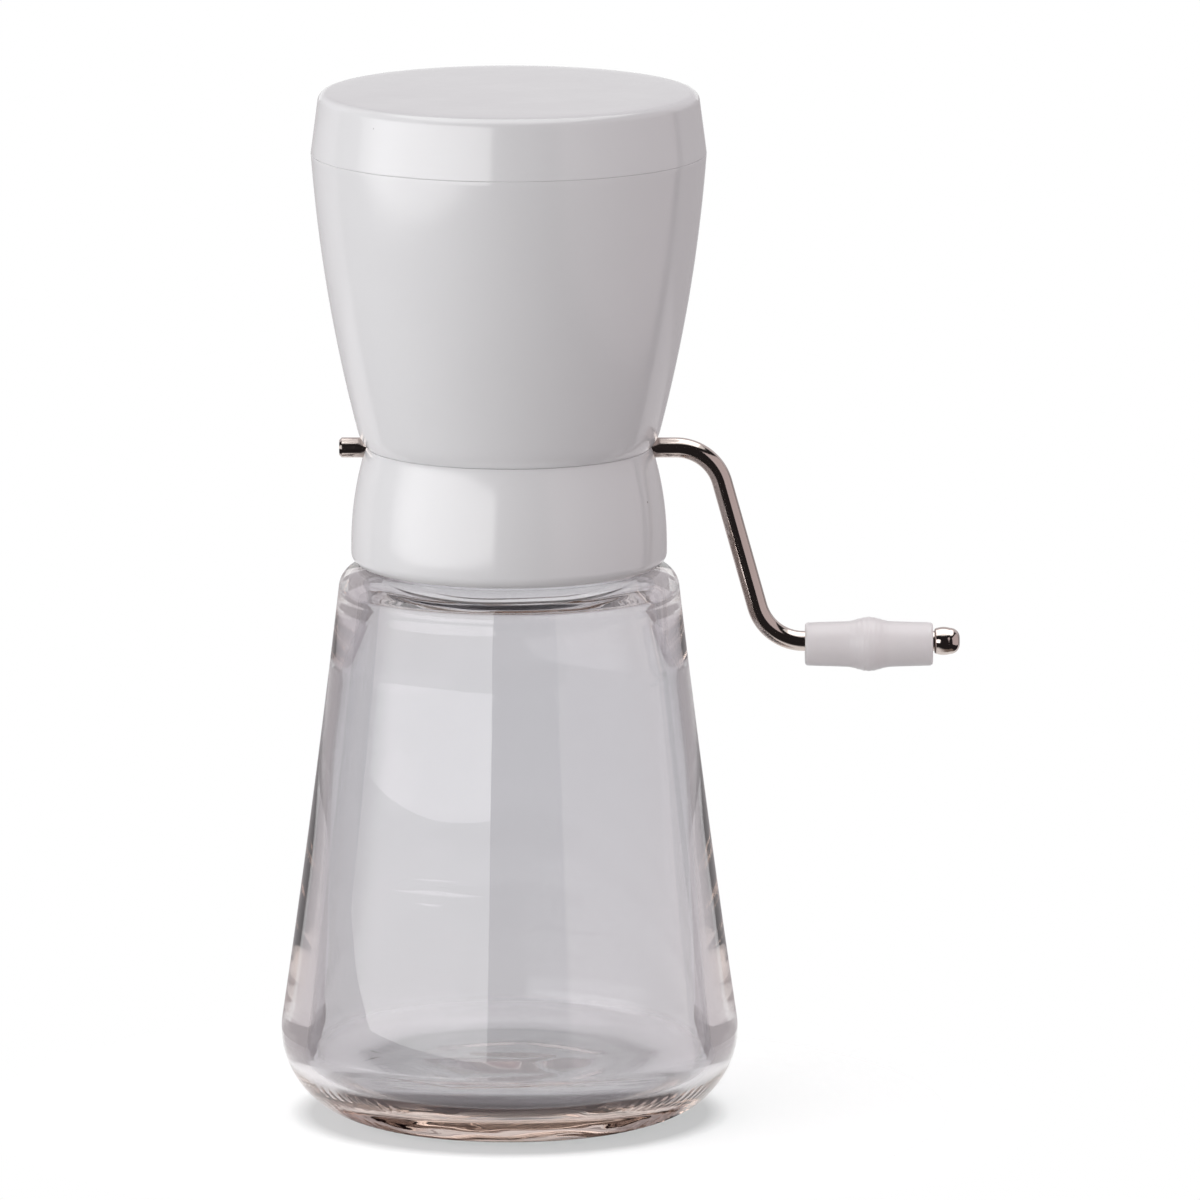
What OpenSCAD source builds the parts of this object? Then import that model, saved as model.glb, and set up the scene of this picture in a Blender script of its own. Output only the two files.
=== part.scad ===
// Hand-cranked nut chopper: a glass jar, a screw-on collar with a slotted deck,
// a hopper and a slip-on lid. A bent-wire crank turns a toothed rotor between two combs.
// Millimetres. The jar stands on z = 0, the jar's axis is Z and the crank axle lies along X.

/* [Jar] */
// Widest radius of the jar, just above its heel
jar_r = 45.2; // [42:0.2:50]
// Rounding between the jar's foot and its side
heel_r = 17; // [12:0.5:19]
// Rounding inside the jar between floor and side
inner_heel_r = 11; // [7:0.5:13]
// Height of the glass shoulder above the table
shoulder_h = 109.9; // [95:0.1:125]
// How far the shoulder reaches out past the neck
shoulder_w = 7.2; // [6.4:0.1:9]
// Rounding of the shoulder's outer edge
shoulder_round = 4.6; // [3.6:0.1:5]
// Thickness of the glass side wall
jar_wall = 3.2; // [2.6:0.1:4]
// How far the side is drawn in at half height
side_hollow = 0.35; // [0:0.05:0.6]
// Height of the inside floor above the table
floor_h = 7; // [5:0.2:9]
// Depth of the hollow under the base
punt_h = 1.2; // [0.6:0.1:2]
// Width of the ring that the jar stands on
foot_w = 4; // [3:0.2:6]

/* [Neck and thread] */
// Outer radius of the jar's neck
neck_r = 26.4; // [25.4:0.1:28]
// Thickness of the neck's wall
neck_wall = 2.8; // [2.4:0.1:3.2]
// Rise of the thread in one turn
thread_lead = 5; // [4.4:0.1:6]
// Turns of the thread
thread_turns = 1.25; // [1:0.05:1.5]
// Height of the thread's ridge
thread_depth = 1.4; // [1:0.1:1.6]
// Clearance between the two threads
thread_gap = 0.4; // [0.3:0.05:0.6]
// Distance from the rim down to the end of the thread
thread_land = 3.9; // [3.4:0.1:4.6]
// Thickness of the sealing ring
seal_t = 0.8; // [0.6:0.1:1.2]

/* [Collar] */
// Height of the collar from its lower edge to the parting plane
collar_h = 23.4; // [22.4:0.1:27]
// Gap between the collar's lower edge and the glass shoulder
skirt_gap = 0.4; // [0.3:0.1:0.8]
// Thickness of the collar's skirt
collar_wall = 2.9; // [2.2:0.1:3.6]
// Rounding of the collar's lower edge
collar_edge = 2.4; // [1.2:0.1:2.6]
// Thickness of the slotted deck
deck_t = 4; // [3.8:0.1:4.6]
// How far the waist stands out past the jar's neck
waist_over = 1.7; // [1.5:0.1:2.2]

/* [Hopper] */
// Height of the hopper from the parting plane to the lid's ledge
hopper_h = 58.3; // [45:0.1:75]
// Outer radius of the hopper at the lid's ledge
rim_r = 38.85; // [37:0.05:42]
// Thickness of the hopper's wall
hopper_wall = 2.2; // [1.8:0.1:2.8]
// Thickness of the hopper's floor
hopper_floor = 2.5; // [2.4:0.1:3.2]
// Lean of the hopper's wall at its foot, in degrees
hopper_lean = 14.5; // [11:0.5:17]
// Rounding of the hopper's foot
hopper_round = 7.8; // [6:0.1:9]
// Height of the tongue that the lid slips over
tongue_h = 5.5; // [4:0.1:7]
// Thickness of the tongue
tongue_wall = 1.7; // [1.4:0.1:2.2]

/* [Lid] */
// Height of the lid
lid_h = 12; // [11:0.1:18]
// How much narrower the lid is at the top than at its rim
lid_taper = 1.35; // [0.6:0.05:2]
// Rounding of the lid's top edge
lid_round = 1.8; // [1:0.1:2.4]
// Thickness of the lid
lid_wall = 1.8; // [1.4:0.1:2.4]
// Clearance between the lid and the tongue
lid_fit = 0.2; // [0.15:0.05:0.4]

/* [Crank] */
// Diameter of the crank's wire
rod_d = 4; // [3.4:0.1:4.4]
// Running clearance of the wire in its bearings
rod_clear = 0.06; // [0.04:0.01:0.1]
// Depth of the crank axle under the parting plane
axle_drop = 0.4; // [0.2:0.1:0.6]
// Free end of the wire past the waist
stub_l = 5.3; // [3:0.1:8]
// Straight wire between the waist and the first bend
crank_reach = 4.7; // [3.6:0.1:9]
// Radius of both bends, at the middle of the wire
bend_r = 9.5; // [7:0.1:12]
// Lean of the crank's arm away from upright, in degrees
arm_lean = 15.6; // [8:0.2:24]
// Distance from the axle to the grip's wire
crank_throw = 38.7; // [32:0.1:55]

/* [Grip] */
// Length of the grip
grip_l = 25.2; // [20:0.1:40]
// Diameter of the grip at its ends
grip_end_d = 8.5; // [8:0.1:10]
// Diameter of the grip beside its bulge
grip_side_d = 9; // [8.4:0.1:10.5]
// Diameter of the grip's bulge
grip_bulge_d = 10.8; // [10:0.1:13]
// Length of the bulge along the grip
bulge_l = 9; // [6:0.2:12]
// Diameter of the grip's bore beyond the wire
grip_play = 1.3; // [0.8:0.1:1.6]
// End gap on either side of the grip
grip_gap = 0.3; // [0.2:0.05:0.6]
// Length of the cap that holds the grip on
cap_l = 5; // [4:0.1:7]
// Diameter of the cap
cap_d = 5.6; // [5.4:0.1:6.4]
// Rounding of the cap's end
cap_round = 1.3; // [0.6:0.1:1.8]

/* [Chopper] */
// Radius swept by the rotor's teeth
rotor_r = 11.3; // [10.5:0.1:12]
// Thickness of each stamped rotor half
blade_t = 1; // [0.8:0.1:1.2]
// Spacing of the rotor's teeth
tooth_pitch = 5; // [4.8:0.1:6]
// Width of a rotor tooth
tooth_w = 2.2; // [1.8:0.1:2.4]
// Length of the drive ears pressed out of the wire
ear_l = 5; // [4:0.1:6]
// Thickness of the drive ears
ear_t = 1.6; // [1.2:0.1:2]
// Thickness of the comb plates
comb_t = 1.2; // [0.8:0.1:1.4]
// Width of a comb's clamped strip
comb_w = 6.4; // [6:0.1:7]
// Width of a comb finger
comb_finger_w = 1.6; // [1.2:0.1:1.8]
// Room between the rotor's teeth and the throat
throat_gap = 0.7; // [0.5:0.1:1]
// Room between the rotor's ends and the throat
end_play = 1.2; // [0.8:0.1:1.6]
// Deck left between the throat's corners and the jar's mouth
throat_edge = 1.9; // [1.5:0.1:2.6]

/* [Fasteners] */
// Diameter of the deck screws
screw_d = 2.6; // [2.2:0.1:2.8]
// Diameter of the screw heads
screw_head_d = 5; // [4.4:0.1:5.2]
// Height of the screw heads
screw_head_h = 1.8; // [1.4:0.1:2.2]
// Distance of the screws from the middle of the comb
screw_x = 8; // [6.5:0.1:9]
// Height of the hopper's screw bosses above the parting plane
boss_h = 6.4; // [5.4:0.1:8]
// Diameter of the rivet shanks
rivet_d = 1.6; // [1.4:0.1:2]
// Diameter of the rivet heads
rivet_head_d = 2.8; // [2.4:0.1:3]

/* [Hidden] */
$fn = 96;

// Small clearances: flat seats, pressed pieces, drilled holes
seat = 0.05;
press = 0.03;
hole_fit = 0.2;
// Overlap that makes a cut pass right through a face
over = 1;

// Heights of the stack above the table
skirt_z = shoulder_h + skirt_gap;
seam_z = skirt_z + collar_h;
deck_z = seam_z - deck_t;
rim_z = deck_z - seal_t - 2 * seat;
axle_z = seam_z - axle_drop;
ledge_z = seam_z + hopper_h;

// Radii that follow from the neck and the rim
mouth_r = neck_r - neck_wall;
bore_r = neck_r + thread_depth + thread_gap;
collar_r = bore_r + collar_wall;
waist_r = neck_r + waist_over;
tongue_r = rim_r - lid_wall - lid_fit;

// Thread ridge: widths at its root and crest, and how deep it is sunk in its wall
ridge_root = 2;
ridge_crest = 1;
ridge_sink = 0.5;
ridge_steps = 36;
thread_len = thread_turns * thread_lead;
jar_thread_z = rim_z - thread_land - thread_len;
collar_thread_z = jar_thread_z - (ridge_root + ridge_crest) / 2 - thread_gap;

// Chopper throat, combs and rotor
rod_r = rod_d / 2;
bearing_r = rod_r + rod_clear;
channel_r = rod_r + press + blade_t;
ear_out = 0.55;
ear_r = channel_r + ear_out;
rivet_room = 0.1;
rivet_u = channel_r + rivet_head_d / 2 + rivet_room;
strip_u = rivet_u + rivet_head_d / 2 + rivet_room;
rivet_x = 1.5 * tooth_pitch;
throat_y = rotor_r + throat_gap;
throat_x = sqrt(mouth_r * mouth_r - throat_y * throat_y) - throat_edge;
strip_x = throat_x - end_play;
tooth_count = floor((strip_x - tooth_w / 2) / tooth_pitch);
comb_y = throat_y + comb_w;
comb_inset = 0.3;
comb_x = sqrt(mouth_r * mouth_r - comb_y * comb_y) - comb_inset;
comb_tip_gap = 0.5;
comb_tip_y = norm([strip_u, blade_t]) + comb_tip_gap;
finger_count = floor((comb_x - comb_finger_w / 2) / tooth_pitch - 0.5);
screw_y = throat_y + comb_w / 2;
screw_hole_r = screw_d / 2 + hole_fit;
boss_roof = 1;

// Crank: the wire runs along X, bends down, leans out and bends back to X
left_end_x = -waist_r - stub_l;
bend_x = waist_r + crank_reach;
arm_l = (crank_throw - 2 * bend_r * (1 - sin(arm_lean))) / cos(arm_lean);
arm_x = bend_x + bend_r * cos(arm_lean);
arm_z = axle_z - bend_r * (1 - sin(arm_lean));
grip_z = axle_z - crank_throw;
grip_wire_x = bend_x + 2 * bend_r * cos(arm_lean) + arm_l * sin(arm_lean);
grip_x = grip_wire_x + grip_gap;
cap_x = grip_x + grip_l + grip_gap;
cap_floor = 1.5;
cap_depth = cap_l - cap_floor;
grip_bore_r = rod_r + grip_play / 2;
grip_hang = grip_play / 2 - seat;

// Points along an arc from angle a to angle b
function arc(c, r, a, b, n) =
    [for (i = [0:n])
        let (t = a + (b - a) * i / n)
        c + r * [cos(t), sin(t)]];
// Points between p and q, bowed out by s to the right of the way from p to q
function bow(p, q, s, n) =
    let (way = q - p, side = [way[1], -way[0]] / norm(way))
    [for (i = [1:n - 1]) let (t = i / n) p + way * t + side * 4 * s * t * (1 - t)];
// Rise of a bow over a span whose end leans d degrees off the span
function rise(p, q, d) = norm(q - p) * tan(d) / 4;
// Lean of the way from p up to q, off upright
function lean(p, q) = atan2(q[0] - p[0], q[1] - p[1]);

// Ridge of a right-hand thread: rings of four points from its root to its crest
module thread_ridge(root_r, crest_r, z) {
    steps = round(ridge_steps * thread_turns);
    fade_steps = 4;
    rings = [for (i = [0:steps])
        let (a = 360 * thread_turns * i / steps,
             full = min(1, (1 + min(i, steps - i)) / fade_steps),
             r = root_r + (crest_r - root_r) * full,
             h = z + thread_len * i / steps,
             side = [[root_r, -ridge_root / 2], [r, -ridge_crest / 2],
                     [r, ridge_crest / 2], [root_r, ridge_root / 2]])
        [for (p = side) [p[0] * cos(a), p[0] * sin(a), h + p[1]]]];
    points = [for (ring = rings) for (p = ring) p];
    walls = [for (i = [0:steps - 1]) for (k = [0:3])
        let (a = 4 * i + k, b = 4 * i + (k + 1) % 4)
        each [[a, b, b + 4], [a, b + 4, a + 4]]];
    last = 4 * steps;
    ends = [[0, 2, 1], [0, 3, 2], [last, last + 1, last + 2], [last, last + 2, last + 3]];
    faces = concat(walls, ends);
    flipped = [for (f = faces) [f[2], f[1], f[0]]];
    polyhedron(points, crest_r > root_r ? faces : flipped);
}

// Places its children along the crank axle, with their own Z turned to +X
module on_axle(x, z = axle_z) {
    translate([x, 0, z]) rotate([0, 90, 0]) children();
}

// Shaft cut that both bearing halves share
module bearing_cut() {
    on_axle(-collar_r - over) cylinder(r = bearing_r, h = 2 * (collar_r + over));
}

// Opening of the chopping throat between two heights
module throat_cut(low, high) {
    translate([-throat_x, -throat_y, low]) cube([2 * throat_x, 2 * throat_y, high - low]);
}

// Places its children at the four deck screws
module at_screws() {
    for (x = [-screw_x, screw_x], y = [-screw_y, screw_y]) translate([x, y, 0]) children();
}

// Jar: one closed outline from the foot, up the outside, over the rim and down the inside
module jar() {
    neck_fillet = 1.2;
    rim_round = 1;
    lip_round = 1.5;
    inner_shoulder = 3;
    heel = [jar_r - heel_r, heel_r];
    shoulder = [neck_r + shoulder_w - shoulder_round, shoulder_h - shoulder_round];
    span = shoulder - heel;
    tilt = atan2(span[1], span[0]) - acos((heel_r - shoulder_round) / norm(span));
    out = [cos(tilt), sin(tilt)];
    reach = out * heel + heel_r - jar_wall;
    roof_z = shoulder_h - jar_wall;
    in_shoulder_z = roof_z - inner_shoulder;
    in_heel_z = floor_h + inner_heel_r;
    in_shoulder = [(reach - inner_shoulder - out[1] * in_shoulder_z) / out[0], in_shoulder_z];
    in_heel = [(reach - inner_heel_r - out[1] * in_heel_z) / out[0], in_heel_z];
    outside = concat(
        arc(heel, heel_r, -90, tilt, 14),
        bow(heel + heel_r * out, shoulder + shoulder_round * out, -side_hollow, 8),
        arc(shoulder, shoulder_round, tilt, 90, 8),
        arc([neck_r + neck_fillet, shoulder_h + neck_fillet], neck_fillet, 270, 180, 4),
        arc([neck_r - rim_round, rim_z - rim_round], rim_round, 0, 90, 5));
    inside = concat(
        arc([mouth_r + rim_round, rim_z - rim_round], rim_round, 90, 180, 5),
        arc([mouth_r + lip_round, roof_z + lip_round], lip_round, 180, 270, 6),
        arc(in_shoulder, inner_shoulder, 90, tilt, 6),
        bow(in_shoulder + inner_shoulder * out, in_heel + inner_heel_r * out, side_hollow, 8),
        arc(in_heel, inner_heel_r, tilt, -90, 12));
    foot_in = heel[0] - foot_w;
    punt = [[0, floor_h], [0, punt_h], [foot_in - 2 * punt_h, punt_h], [foot_in, 0]];
    color([0.84, 0.87, 0.88, 0.5]) union() {
        rotate_extrude() polygon(concat(punt, outside, inside));
        thread_ridge(neck_r - ridge_sink, neck_r + thread_depth, jar_thread_z);
    }
}

// Seal: flat ring between the jar's rim and the deck
module jar_seal() {
    inset = 0.3;
    color("gainsboro") translate([0, 0, rim_z + seat]) difference() {
        cylinder(r = neck_r - inset, h = seal_t);
        translate([0, 0, -over]) cylinder(r = mouth_r + inset, h = seal_t + 2 * over);
    }
}

// Collar: screw cap whose deck holds the combs and the lower bearing halves
module collar() {
    corner_h = 3.5;
    corner_step = 1;
    chamfer = 0.6;
    straight_h = 1.5;
    low = [collar_r, skirt_z + collar_edge + straight_h];
    high = [waist_r, seam_z];
    outline = concat(
        arc([collar_r - collar_edge, skirt_z + collar_edge], collar_edge, -90, 0, 6),
        [low],
        bow(low, high, rise(low, high, -lean(low, high)), 10),
        [high, [0, seam_z], [0, deck_z], [neck_r + thread_gap, deck_z],
         [neck_r + thread_gap, deck_z - corner_step], [bore_r, deck_z - corner_h],
         [bore_r, skirt_z + chamfer], [min(bore_r + chamfer, collar_r - collar_edge), skirt_z]]);
    color("white") difference() {
        union() {
            rotate_extrude() polygon(outline);
            thread_ridge(bore_r + ridge_sink, bore_r - thread_depth, collar_thread_z);
        }
        throat_cut(deck_z - over, seam_z + over);
        bearing_cut();
        translate([-collar_r - over, -bearing_r, axle_z])
            cube([2 * (collar_r + over), 2 * bearing_r, deck_t]);
        for (side = [0, 180]) rotate(side)
            translate([-comb_x - hole_fit, throat_y - over, seam_z - comb_t - seat])
                cube([2 * (comb_x + hole_fit), comb_w + over + hole_fit, comb_t + over]);
        at_screws() translate([0, 0, deck_z - over])
            cylinder(r = screw_hole_r, h = deck_t + over);
    }
}

// Hopper: flared bowl with a slotted floor, upper bearing halves, screw bosses and a tongue
module hopper() {
    seam_relief = 0.3;
    relief_w = 1.2;
    inner_round = 3;
    thick_h = 8;
    boss_wall = 1.5;
    boss_r = screw_d / 2 + boss_wall;
    hump_wall = 1.6;
    hump_r = bearing_r + hump_wall;
    lip_drop = 1;
    floor_z = seam_z + hopper_floor;
    foot_lean = 41.5;
    tip = [waist_r, seam_z + seam_relief];
    foot_c = tip - hopper_round * [cos(foot_lean), -sin(foot_lean)];
    low = foot_c + hopper_round * [cos(hopper_lean), -sin(hopper_lean)];
    high = [rim_r, ledge_z];
    wall_rise = rise(low, high, hopper_lean - lean(low, high));
    in_low = [low[0] - hopper_wall, floor_z + inner_round];
    in_high = [tongue_r - tongue_wall, ledge_z - lip_drop];
    in_wall_end = [rim_r - hopper_wall - thick_h * tan(hopper_lean / 2), ledge_z - thick_h];
    outline = concat(
        [[0, seam_z], [waist_r - relief_w, seam_z], [waist_r - relief_w, tip[1]]],
        arc(foot_c, hopper_round, -foot_lean, -hopper_lean, 5),
        bow(low, high, wall_rise, 12),
        [high, [tongue_r, ledge_z], [tongue_r, ledge_z + tongue_h],
         [tongue_r - tongue_wall, ledge_z + tongue_h], in_high],
        [in_wall_end],
        bow(in_wall_end, in_low, -wall_rise, 10),
        arc(in_low - [inner_round, 0], inner_round, 0, -90, 6),
        [[0, floor_z]]);
    hump_inset = 0.4;
    hump_end = waist_r - relief_w - hump_inset;
    color("white") difference() {
        union() {
            rotate_extrude() polygon(outline);
            for (side = [0, 180]) rotate(side) intersection() {
                on_axle(throat_x) cylinder(r = hump_r, h = hump_end - throat_x);
                translate([0, -hump_r, floor_z - over]) cube([waist_r, 2 * hump_r, hump_r + over]);
            }
            at_screws() translate([0, 0, floor_z - over])
                cylinder(r = boss_r, h = boss_h - hopper_floor + over);
        }
        throat_cut(seam_z - over, floor_z + over);
        bearing_cut();
        at_screws() translate([0, 0, seam_z - over])
            cylinder(r = screw_d / 2 + press, h = boss_h - boss_roof + over);
    }
}

// Lid: shallow cap that slips over the hopper's tongue
module lid() {
    bottom_z = ledge_z + seat;
    top_z = ledge_z + lid_h;
    top_r = rim_r - lid_taper;
    edge = 0.4;
    side_tilt = atan2(lid_taper, lid_h - lid_round);
    in_r = tongue_r + lid_fit;
    tongue_room = 0.6;
    in_step_z = ledge_z + tongue_h + tongue_room;
    in_top_z = top_z - lid_wall;
    in_top_r = top_r - lid_wall;
    in_round = 1;
    outline = concat(
        [[in_r, bottom_z], [rim_r - edge, bottom_z], [rim_r, bottom_z + edge]],
        arc([top_r - lid_round, top_z - lid_round], lid_round, side_tilt, 90, 7),
        [[0, top_z], [0, in_top_z]],
        arc([in_top_r - in_round, in_top_z - in_round], in_round, 90, 0, 4),
        [[in_r, in_step_z]]);
    color("white") rotate_extrude() polygon(outline);
}

// One bend of the wire, drawn a hair thinner so that both its ends lie inside the straights
module wire_bend(from_angle) {
    thin = 0.02;
    lap = 1.2;
    rotate([90, 0, 0]) rotate(from_angle - lap)
        rotate_extrude(angle = 90 - arm_lean + 2 * lap) translate([bend_r, 0]) circle(r = rod_r - thin);
}

// Crank rod: one bent wire with a chamfered free end and two flat drive ears
module crank_rod() {
    chamfer = 0.5;
    color("silver") union() {
        on_axle(left_end_x) rotate_extrude()
            polygon([[0, 0], [rod_r - chamfer, 0], [rod_r, chamfer],
                     [rod_r, bend_x - left_end_x], [0, bend_x - left_end_x]]);
        translate([bend_x, 0, axle_z - bend_r]) wire_bend(arm_lean);
        translate([arm_x, 0, arm_z]) rotate([0, 180 - arm_lean, 0]) cylinder(r = rod_r, h = arm_l);
        translate([grip_wire_x, 0, grip_z + bend_r]) wire_bend(180 + arm_lean);
        on_axle(grip_wire_x, grip_z) cylinder(r = rod_r, h = cap_x + cap_depth - seat - grip_wire_x);
        translate([-ear_l / 2, -ear_t / 2, axle_z - ear_r]) cube([ear_l, ear_t, 2 * ear_r]);
    }
}

// Grip: loose sleeve with a bulge round its middle, hanging on the wire
module crank_grip() {
    edge = 0.6;
    steps = 10;
    mid = grip_l / 2;
    half = bulge_l / 2;
    bulge = [for (i = [0:2 * steps])
        let (t = i / steps - 1)
        [grip_side_d / 2 + (grip_bulge_d - grip_side_d) / 2 * (1 + cos(180 * t)) / 2, mid + half * t]];
    outline = concat(
        [[grip_bore_r, 0]],
        arc([grip_end_d / 2 - edge, edge], edge, -90, 0, 4),
        bulge,
        arc([grip_end_d / 2 - edge, grip_l - edge], edge, 0, 90, 4),
        [[grip_bore_r, grip_l]]);
    color("whitesmoke") on_axle(grip_x, grip_z - grip_hang) rotate_extrude() polygon(outline);
}

// Cap: turned button pressed on the end of the wire
module grip_cap() {
    edge = 0.4;
    outline = concat(
        [[0, cap_depth], [rod_r + press, cap_depth], [rod_r + press, 0],
         [cap_d / 2 - edge, 0], [cap_d / 2, edge]],
        arc([cap_d / 2 - cap_round, cap_l - cap_round], cap_round, 0, 90, 6),
        [[0, cap_l]]);
    color("silver") on_axle(cap_x, grip_z) rotate_extrude() polygon(outline);
}

// Outline of one rotor half: a strip with teeth on every other place, opposite edges staggered
function tooth(x, base, tip) =
    let (w = tooth_w / 2, bevel = tooth_w / 3, s = sign(tip))
    [[x - s * w, base], [x - s * w, tip - s * bevel], [x - s * (w - bevel), tip],
     [x + s * (w - bevel), tip], [x + s * w, tip - s * bevel], [x + s * w, base]];
function rotor_outline() =
    let (tip = sqrt(rotor_r * rotor_r - blade_t * blade_t), n = tooth_count)
    concat(
        [[-strip_x, strip_u]],
        [for (i = [-n:n]) if (abs(i) % 2 == n % 2) each tooth(i * tooth_pitch, strip_u, tip)],
        [[strip_x, strip_u], [strip_x, -strip_u]],
        [for (i = [n:-1:-n]) if (abs(i) % 2 != n % 2) each tooth(i * tooth_pitch, -strip_u, -tip)],
        [[-strip_x, -strip_u]]);

// Rotor half: toothed stamping with a half-round channel for the wire and a window for its ears
module rotor_half() {
    window_x = ear_l / 2 + press;
    window_u = ear_r + press;
    shell_r = channel_r + over;
    difference() {
        union() {
            rotate([90, 0, 0]) translate([0, 0, -blade_t])
                linear_extrude(blade_t) polygon(rotor_outline());
            intersection() {
                on_axle(-strip_x, 0) cylinder(r = channel_r, h = 2 * strip_x);
                translate([-strip_x, 0, -shell_r]) cube([2 * strip_x, shell_r, 2 * shell_r]);
            }
        }
        on_axle(-strip_x - over, 0) cylinder(r = rod_r + press, h = 2 * (strip_x + over));
        translate([-window_x, -over, -window_u])
            cube([2 * window_x, shell_r + over, 2 * window_u]);
        for (x = [-rivet_x, rivet_x], u = [-rivet_u, rivet_u])
            translate([x, -over, u]) rotate([-90, 0, 0])
                cylinder(d = rivet_d + 2 * press, h = blade_t + 2 * over);
    }
}

module rotor_half_rear() {
    color("lightsteelblue") translate([0, seat / 2, axle_z]) rotor_half();
}

module rotor_half_front() {
    color("lightsteelblue") translate([0, -seat / 2, axle_z]) rotate([180, 0, 0]) rotor_half();
}

// Rivets: four shanks with a low head on either side of the rotor
module rotor_rivets() {
    head_h = 0.6;
    head_r = rivet_head_d / 2;
    bevel = head_h / 2;
    inner = blade_t + 1.5 * seat;
    outer = inner + head_h;
    outline = [
        [0, -outer], [head_r - bevel, -outer], [head_r, bevel - outer], [head_r, -inner],
        [rivet_d / 2, -inner], [rivet_d / 2, inner],
        [head_r, inner], [head_r, outer - bevel], [head_r - bevel, outer], [0, outer]];
    color("gray") for (x = [-rivet_x, rivet_x], u = [-rivet_u, rivet_u])
        translate([x, 0, axle_z + u]) rotate([90, 0, 0]) rotate_extrude() polygon(outline);
}

// Comb plate: clamped strip with fingers that reach between the rotor's teeth
module comb(places) {
    w = comb_finger_w / 2;
    bevel = comb_finger_w / 4;
    root_y = throat_y + hole_fit;
    fingers = [for (i = places)
        let (x = (i + 0.5) * tooth_pitch)
        each [[x - w, root_y], [x - w, comb_tip_y + bevel], [x - w + bevel, comb_tip_y],
              [x + w - bevel, comb_tip_y], [x + w, comb_tip_y + bevel], [x + w, root_y]]];
    outline = concat(
        [[-comb_x, comb_y], [-comb_x, root_y]],
        fingers,
        [[comb_x, root_y], [comb_x, comb_y]]);
    difference() {
        translate([0, 0, seam_z - comb_t - seat / 2]) linear_extrude(comb_t) polygon(outline);
        for (x = [-screw_x, screw_x]) translate([x, screw_y, deck_z])
            cylinder(r = screw_hole_r, h = deck_t + over);
    }
}

module fine_comb() {
    color("lightgray") comb([-finger_count - 1:finger_count]);
}

module coarse_comb() {
    color("lightgray") rotate(180) comb([-finger_count - 1:2:finger_count]);
}

// Deck screws: pan heads under the deck, shanks up into the hopper's bosses
module deck_screws() {
    recess_w = 0.8;
    recess_l = screw_head_d * 0.6;
    recess_h = screw_head_h / 2;
    head_r = screw_head_d / 2;
    shank_r = screw_d / 2;
    bevel = 0.5;
    point_gap = 0.4;
    point_z = seam_z + boss_h - boss_roof - point_gap;
    top_z = deck_z - seat;
    low_z = top_z - screw_head_h;
    color("silver") at_screws() difference() {
        rotate_extrude() polygon([
            [0, low_z], [head_r - bevel, low_z], [head_r, low_z + bevel], [head_r, top_z],
            [shank_r, top_z], [shank_r, point_z - shank_r], [0, point_z]]);
        for (turn = [0, 90]) rotate(turn)
            translate([-recess_l / 2, -recess_w / 2, low_z - over])
                cube([recess_l, recess_w, recess_h + over]);
    }
}

jar();
jar_seal();
collar();
hopper();
lid();
crank_rod();
crank_grip();
grip_cap();
rotor_half_front();
rotor_half_rear();
rotor_rivets();
coarse_comb();
fine_comb();
deck_screws();
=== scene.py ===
import math

import bmesh
import bpy
from mathutils import Matrix, Vector, noise


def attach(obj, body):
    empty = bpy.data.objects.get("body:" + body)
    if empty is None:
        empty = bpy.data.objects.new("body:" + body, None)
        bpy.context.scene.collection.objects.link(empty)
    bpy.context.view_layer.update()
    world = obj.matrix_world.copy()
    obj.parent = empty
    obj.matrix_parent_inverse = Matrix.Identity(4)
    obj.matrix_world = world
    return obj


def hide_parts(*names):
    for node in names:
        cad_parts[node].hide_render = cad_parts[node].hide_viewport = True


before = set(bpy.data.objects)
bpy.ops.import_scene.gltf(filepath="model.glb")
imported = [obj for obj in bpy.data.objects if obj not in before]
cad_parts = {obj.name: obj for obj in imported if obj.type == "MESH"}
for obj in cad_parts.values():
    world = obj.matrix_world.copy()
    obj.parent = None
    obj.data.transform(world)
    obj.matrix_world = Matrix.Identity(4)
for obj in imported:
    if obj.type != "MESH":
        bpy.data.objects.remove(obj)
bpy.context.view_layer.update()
mm = 0.001
hair = 0.01  # mm; what is closer than this counts as the same place
print("frame loaded:", len(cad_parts), "nodes")


# sRGB hex to the linear colour that shaders take
def linearColour(hexText):
    parts = [int(hexText[i:i + 2], 16) / 255 for i in (0, 2, 4)]
    return [c / 12.92 if c <= 0.04045 else ((c + 0.055) / 1.055) ** 2.4 for c in parts] + [1.0]


# one node: attributes by name, sockets by value, or by (node, output) to link
# a colour Mix has its factor at socket 0, its colours at 6 and 7 and its result at output 2
def addNode(tree, kind, sockets=None, **attributes):
    node = tree.nodes.new("ShaderNode" + kind)
    for name, value in attributes.items():
        setattr(node, name, value)
    for name, value in (sockets or {}).items():
        if isinstance(value, tuple) and isinstance(value[0], bpy.types.Node):
            tree.links.new(value[0].outputs[value[1]], node.inputs[name])
        else:
            node.inputs[name].default_value = value
    return node


def startMaterial(name):
    material = bpy.data.materials.new(name)
    material.use_nodes = True
    material.node_tree.nodes.clear()
    return material, material.node_tree


def endMaterial(tree, shader):
    addNode(tree, "OutputMaterial", {"Surface": (shader, 0)})


# noise and bump sizes below are in mm on the object: scale is one over the size in metres
def perMetre(sizeMm):
    return 1 / (sizeMm * mm)


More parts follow.
